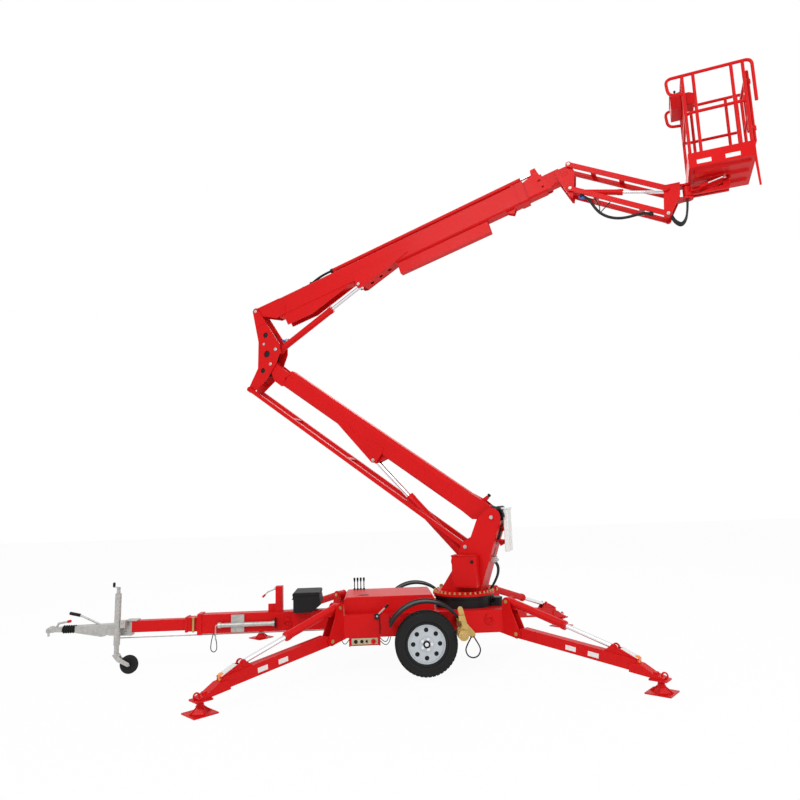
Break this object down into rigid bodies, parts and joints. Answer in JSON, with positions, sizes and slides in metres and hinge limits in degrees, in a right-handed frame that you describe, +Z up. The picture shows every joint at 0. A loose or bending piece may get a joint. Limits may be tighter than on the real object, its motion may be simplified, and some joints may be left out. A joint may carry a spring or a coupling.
{
  "type": "towable boom lift",
  "caption": "Towable articulated boom lift: wheeled trailer on folding outriggers, turntable mast, linked lower boom, knuckle, telescopic upper boom, jib and caged basket.",
  "frame": {"origin": "on the ground midway between the foot pads, under the axle", "axes": "+X along the trailer towards its rear, +Y to its right side as it is towed, +Z up"},
  "size_m": [8.1196, 3.5492, 6.362],
  "materials": {
    "red_paint": "gloss",
    "black_paint": "satin",
    "galvanised": "dull zinc",
    "chrome": "polished",
    "tyre_rubber": "matte",
    "rim_paint": "silver",
    "black_plastic": "matte",
    "zinc_plate": "yellow zinc"
  },
  "bodies": {
    "chassis": {"chassis_frame": "red_paint", "drawbar": "red_paint", "coupling": "galvanised", "toolbox": "black_paint", "hood": "red_paint", "power_pack": "black_paint", "mudguards": "black_plastic", "drive_units": "zinc_plate", "slew_drum": "black_paint", "ground_control": "red_paint", "spare_jack": "galvanised", "jockey_clamp": "galvanised"},
    "jockey_leg": {"jockey_leg": "galvanised"},
    "jockey_wheel": {"jockey_wheel": "tyre_rubber"},
    "wheel_left": {"tyre_left": "tyre_rubber", "rim_left": "rim_paint"},
    "wheel_right": {"tyre_right": "tyre_rubber", "rim_right": "rim_paint"},
    "turntable": {"slew_ring": "red_paint", "mast": "red_paint", "mast_box": "red_paint"},
    "lower_boom": {"lower_boom": "red_paint"},
    "tie_rods": {"tie_rods": "red_paint"},
    "knuckle": {"knuckle": "red_paint"},
    "lower_barrel": {"lower_barrel": "red_paint"},
    "lower_rod": {"lower_rod": "chrome"},
    "upper_boom": {"upper_boom": "red_paint", "tele_barrel": "red_paint"},
    "upper_barrel": {"upper_barrel": "red_paint"},
    "upper_rod": {"upper_rod": "chrome"},
    "boom_mid": {"boom_mid": "red_paint", "tele_rod": "chrome"},
    "boom_tip": {"boom_tip": "red_paint"},
    "jib_base": {"jib_base": "red_paint"},
    "jib_lower": {"jib_lower_arm": "red_paint"},
    "jib_upper": {"jib_upper_arm": "red_paint"},
    "jib_barrel": {"jib_barrel": "red_paint"},
    "jib_rod": {"jib_rod": "chrome"},
    "jib_head": {"jib_head": "red_paint"},
    "basket": {"basket_floor": "red_paint", "basket_frame": "red_paint", "basket_control": "red_paint"},
    "gate": {"basket_gate": "red_paint"},
    "leg_front_left": {"leg_front_left": "red_paint", "foot_front_left": "red_paint"},
    "leg_barrel_front_left": {"leg_barrel_front_left": "red_paint"},
    "leg_rod_front_left": {"leg_rod_front_left": "chrome"},
    "leg_front_right": {"leg_front_right": "red_paint", "foot_front_right": "red_paint"},
    "leg_barrel_front_right": {"leg_barrel_front_right": "red_paint"},
    "leg_rod_front_right": {"leg_rod_front_right": "chrome"},
    "leg_rear_left": {"leg_rear_left": "red_paint", "foot_rear_left": "red_paint"},
    "leg_barrel_rear_left": {"leg_barrel_rear_left": "red_paint"},
    "leg_rod_rear_left": {"leg_rod_rear_left": "chrome"},
    "leg_rear_right": {"leg_rear_right": "red_paint", "foot_rear_right": "red_paint"},
    "leg_barrel_rear_right": {"leg_barrel_rear_right": "red_paint"},
    "leg_rod_rear_right": {"leg_rod_rear_right": "chrome"}
  },
  "joints": [
    {"name": "wheel_left_spin", "type": "hinge", "parent": "chassis", "child": "wheel_left", "pos_m": [0, -0.77, 0.352], "axis": [0, -1, 0], "continuous": true},
    {"name": "wheel_right_spin", "type": "hinge", "parent": "chassis", "child": "wheel_right", "pos_m": [0, 0.77, 0.352], "axis": [0, 1, 0], "continuous": true},
    {"name": "jockey_lift", "type": "slide", "parent": "chassis", "child": "jockey_leg", "axis": [0, 0, 1], "range_m": [-0.12, 0.08]},
    {"name": "jockey_wheel_spin", "type": "hinge", "parent": "jockey_leg", "child": "jockey_wheel", "pos_m": [-3.28, -0.12, 0.112], "axis": [0, 1, 0], "continuous": true},
    {"name": "slew", "type": "hinge", "parent": "chassis", "child": "turntable", "pos_m": [0.52, 0, 0.7], "axis": [0, 0, 1], "range_deg": [-154.5, 204.5]},
    {"name": "lower_boom_lift", "type": "hinge", "parent": "turntable", "child": "lower_boom", "pos_m": [0.90246, -0.17835, 1.606], "axis": [0.4226, 0.9063, 0], "range_deg": [-44.2, 24.8]},
    {"name": "tie_rod_swing", "type": "hinge", "parent": "turntable", "child": "tie_rods", "pos_m": [0.6061, -0.04015, 1.275], "axis": [0.4226, 0.9063, 0], "range_deg": [-44.7, 25.3]},
    {"name": "knuckle_level", "type": "hinge", "parent": "lower_boom", "child": "knuckle", "pos_m": [-1.85696, 1.10839, 3.75379], "axis": [0.4226, 0.9063, 0], "range_deg": [-25.3, 44.7]},
    {"name": "lower_barrel_swing", "type": "hinge", "parent": "turntable", "child": "lower_barrel", "pos_m": [0.67407, -0.07185, 1.01], "axis": [-0.4226, -0.9063, 0], "range_deg": [-22.94, 40.5]},
    {"name": "lower_rod_slide", "type": "slide", "parent": "lower_barrel", "child": "lower_rod", "axis": [-0.6228, 0.2904, 0.7265], "range_m": [-0.47375, 0.26801]},
    {"name": "upper_boom_lift", "type": "hinge", "parent": "knuckle", "child": "upper_boom", "pos_m": [-2.08897, 1.21658, 4.54679], "axis": [-0.4226, -0.9063, 0], "range_deg": [-6, 54.7]},
    {"name": "upper_barrel_swing", "type": "hinge", "parent": "knuckle", "child": "upper_barrel", "pos_m": [-1.78445, 1.07458, 3.95379], "axis": [-0.4226, -0.9063, 0], "range_deg": [-5.61, 47.12]},
    {"name": "upper_rod_slide", "type": "slide", "parent": "upper_barrel", "child": "upper_rod", "axis": [0.786, -0.3665, 0.4979], "range_m": [-0.06809, 0.58017]},
    {"name": "telescope", "type": "slide", "parent": "upper_boom", "child": "boom_mid", "axis": [0.8742, -0.4076, 0.2639], "range_m": [0, 2]},
    {"name": "tip_slide", "type": "slide", "parent": "boom_mid", "child": "boom_tip", "axis": [0.8742, -0.4076, 0.2639], "range_m": [-0.001, 2.001]},
    {"name": "basket_level", "type": "hinge", "parent": "boom_tip", "child": "jib_base", "pos_m": [1.87902, -0.63372, 5.65329], "axis": [-0.4226, -0.9063, 0], "range_deg": [-55.2, 6.5]},
    {"name": "jib_lift", "type": "hinge", "parent": "jib_base", "child": "jib_lower", "pos_m": [1.93975, -0.66204, 5.41929], "axis": [-0.4226, -0.9063, 0], "range_deg": [-28, 77]},
    {"name": "jib_upper_swing", "type": "hinge", "parent": "jib_base", "child": "jib_upper", "pos_m": [1.93975, -0.66204, 5.72429], "axis": [-0.4226, -0.9063, 0], "range_deg": [-28.5, 77.5]},
    {"name": "jib_head_level", "type": "hinge", "parent": "jib_lower", "child": "jib_head", "pos_m": [2.87235, -1.09692, 4.88818], "axis": [-0.4226, -0.9063, 0], "range_deg": [-77.5, 28.5]},
    {"name": "jib_barrel_swing", "type": "hinge", "parent": "jib_base", "child": "jib_barrel", "pos_m": [1.93975, -0.66204, 5.41929], "axis": [-0.4226, -0.9063, 0], "range_deg": [-26.78, 72.77]},
    {"name": "jib_rod_slide", "type": "slide", "parent": "jib_barrel", "child": "jib_rod", "axis": [0.8852, -0.4128, -0.2146], "range_m": [-0.13289, 0.35668]},
    {"name": "basket_turn", "type": "hinge", "parent": "jib_head", "child": "basket", "pos_m": [3.06721, -1.18778, 5.19318], "axis": [0, 0, 1], "range_deg": [-65, 65]},
    {"name": "gate_swing", "type": "hinge", "parent": "basket", "child": "gate", "pos_m": [3.57044, -1.70579, 5.85], "axis": [0, 0, 1], "range_deg": [0, 90]},
    {"name": "leg_front_left_lift", "type": "hinge", "parent": "chassis", "child": "leg_front_left", "pos_m": [-1.031, -0.568, 0.372], "axis": [-0.682, 0.7314, 0], "range_deg": [-5, 76]},
    {"name": "leg_barrel_front_left_swing", "type": "hinge", "parent": "chassis", "child": "leg_barrel_front_left", "pos_m": [-0.95055, -0.49298, 0.7], "axis": [-0.682, 0.7314, 0], "range_deg": [-5.6, 78.08]},
    {"name": "leg_rod_front_left_slide", "type": "slide", "parent": "leg_barrel_front_left", "child": "leg_rod_front_left", "axis": [-0.7012, -0.6539, -0.2843], "range_m": [-0.43012, 0.03297]},
    {"name": "leg_front_right_lift", "type": "hinge", "parent": "chassis", "child": "leg_front_right", "pos_m": [-1.031, 0.568, 0.372], "axis": [0.682, 0.7314, 0], "range_deg": [-5, 76]},
    {"name": "leg_barrel_front_right_swing", "type": "hinge", "parent": "chassis", "child": "leg_barrel_front_right", "pos_m": [-0.95055, 0.49298, 0.7], "axis": [0.682, 0.7314, 0], "range_deg": [-5.6, 78.08]},
    {"name": "leg_rod_front_right_slide", "type": "slide", "parent": "leg_barrel_front_right", "child": "leg_rod_front_right", "axis": [-0.7012, 0.6539, -0.2843], "range_m": [-0.43012, 0.03297]},
    {"name": "leg_rear_left_lift", "type": "hinge", "parent": "chassis", "child": "leg_rear_left", "pos_m": [1.031, -0.568, 0.372], "axis": [-0.682, -0.7314, 0], "range_deg": [-5, 76]},
    {"name": "leg_barrel_rear_left_swing", "type": "hinge", "parent": "chassis", "child": "leg_barrel_rear_left", "pos_m": [0.95055, -0.49298, 0.7], "axis": [-0.682, -0.7314, 0], "range_deg": [-5.6, 78.08]},
    {"name": "leg_rod_rear_left_slide", "type": "slide", "parent": "leg_barrel_rear_left", "child": "leg_rod_rear_left", "axis": [0.7012, -0.6539, -0.2843], "range_m": [-0.43012, 0.03297]},
    {"name": "leg_rear_right_lift", "type": "hinge", "parent": "chassis", "child": "leg_rear_right", "pos_m": [1.031, 0.568, 0.372], "axis": [0.682, -0.7314, 0], "range_deg": [-5, 76]},
    {"name": "leg_barrel_rear_right_swing", "type": "hinge", "parent": "chassis", "child": "leg_barrel_rear_right", "pos_m": [0.95055, 0.49298, 0.7], "axis": [0.682, -0.7314, 0], "range_deg": [-5.6, 78.08]},
    {"name": "leg_rod_rear_right_slide", "type": "slide", "parent": "leg_barrel_rear_right", "child": "leg_rod_rear_right", "axis": [0.7012, 0.6539, -0.2843], "range_m": [-0.43012, 0.03297]}
  ],
  "couplings": [
    {"joint": "tie_rod_swing", "follows": "lower_boom_lift", "ratio": 1},
    {"joint": "knuckle_level", "follows": "lower_boom_lift", "ratio": -1},
    {"joint": "lower_barrel_swing", "follows": "lower_boom_lift", "ratio": -0.905},
    {"joint": "lower_rod_slide", "follows": "lower_boom_lift", "m_per_rad": 0.60763},
    {"joint": "upper_barrel_swing", "follows": "upper_boom_lift", "ratio": 0.8523},
    {"joint": "upper_rod_slide", "follows": "upper_boom_lift", "m_per_rad": 0.60247},
    {"joint": "tip_slide", "follows": "telescope", "ratio": 1},
    {"joint": "basket_level", "follows": "upper_boom_lift", "ratio": -1},
    {"joint": "jib_upper_swing", "follows": "jib_lift", "ratio": 1},
    {"joint": "jib_head_level", "follows": "jib_lift", "ratio": -1},
    {"joint": "jib_barrel_swing", "follows": "jib_lift", "ratio": 0.93861},
    {"joint": "jib_rod_slide", "follows": "jib_lift", "m_per_rad": 0.26169},
    {"joint": "leg_barrel_front_left_swing", "follows": "leg_front_left_lift", "ratio": 1.0208},
    {"joint": "leg_rod_front_left_slide", "follows": "leg_front_left_lift", "m_per_rad": -0.32049},
    {"joint": "leg_barrel_front_right_swing", "follows": "leg_front_right_lift", "ratio": 1.0208},
    {"joint": "leg_rod_front_right_slide", "follows": "leg_front_right_lift", "m_per_rad": -0.32049},
    {"joint": "leg_barrel_rear_left_swing", "follows": "leg_rear_left_lift", "ratio": 1.0208},
    {"joint": "leg_rod_rear_left_slide", "follows": "leg_rear_left_lift", "m_per_rad": -0.32049},
    {"joint": "leg_barrel_rear_right_swing", "follows": "leg_rear_right_lift", "ratio": 1.0208},
    {"joint": "leg_rod_rear_right_slide", "follows": "leg_rear_right_lift", "m_per_rad": -0.32049}
  ]
}
